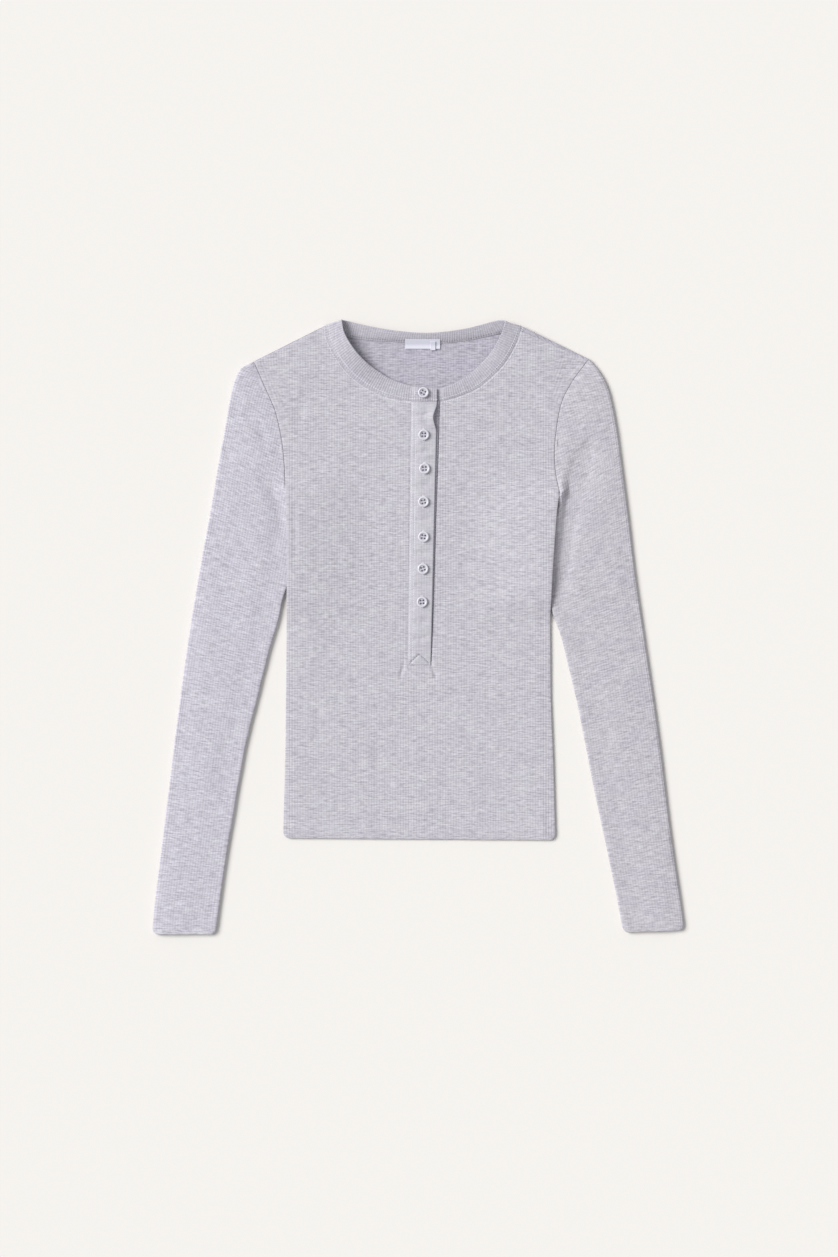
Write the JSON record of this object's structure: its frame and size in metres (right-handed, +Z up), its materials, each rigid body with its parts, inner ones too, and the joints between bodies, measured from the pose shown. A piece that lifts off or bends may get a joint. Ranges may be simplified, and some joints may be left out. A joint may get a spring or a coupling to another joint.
{
  "type": "henley shirt",
  "caption": "Long-sleeved henley shirt in light heather-grey fine rib jersey, buttoned at a half placket and laid flat on its back, with a banded round neck",
  "frame": {"origin": "middle of the underside of the laid-out shirt's bounding box, on the surface it lies on", "axes": "+Z up from the surface, through the back panel and then the front panel; +Y from hem to neck; +X to the wearer's left side"},
  "size_m": [0.563, 0.6512, 0.0112],
  "materials": {
    "rib_jersey": "light heather-grey fine rib jersey, matt with short fuzz",
    "rib_band": "doubled rib neckband of the same jersey, ribs across its width",
    "placket_jersey": "doubled smooth jersey strip, slightly warmer grey",
    "label_satin": "bare woven satin label, bluish white",
    "button_plastic": "moulded grey polyester, satin gloss, raised rim"
  },
  "bodies": {
    "root": {"back_panel": "rib_jersey", "front_panel": "rib_jersey", "sleeve_left": "rib_jersey", "sleeve_right": "rib_jersey", "neckband": "rib_band", "placket_top": "placket_jersey", "placket_under": "placket_jersey", "neck_label": "label_satin", "size_tab": "label_satin", "button_1": "button_plastic", "button_2": "button_plastic", "button_3": "button_plastic", "button_4": "button_plastic", "button_5": "button_plastic", "button_6": "button_plastic", "button_7": "button_plastic"}
  },
  "joints": []
}
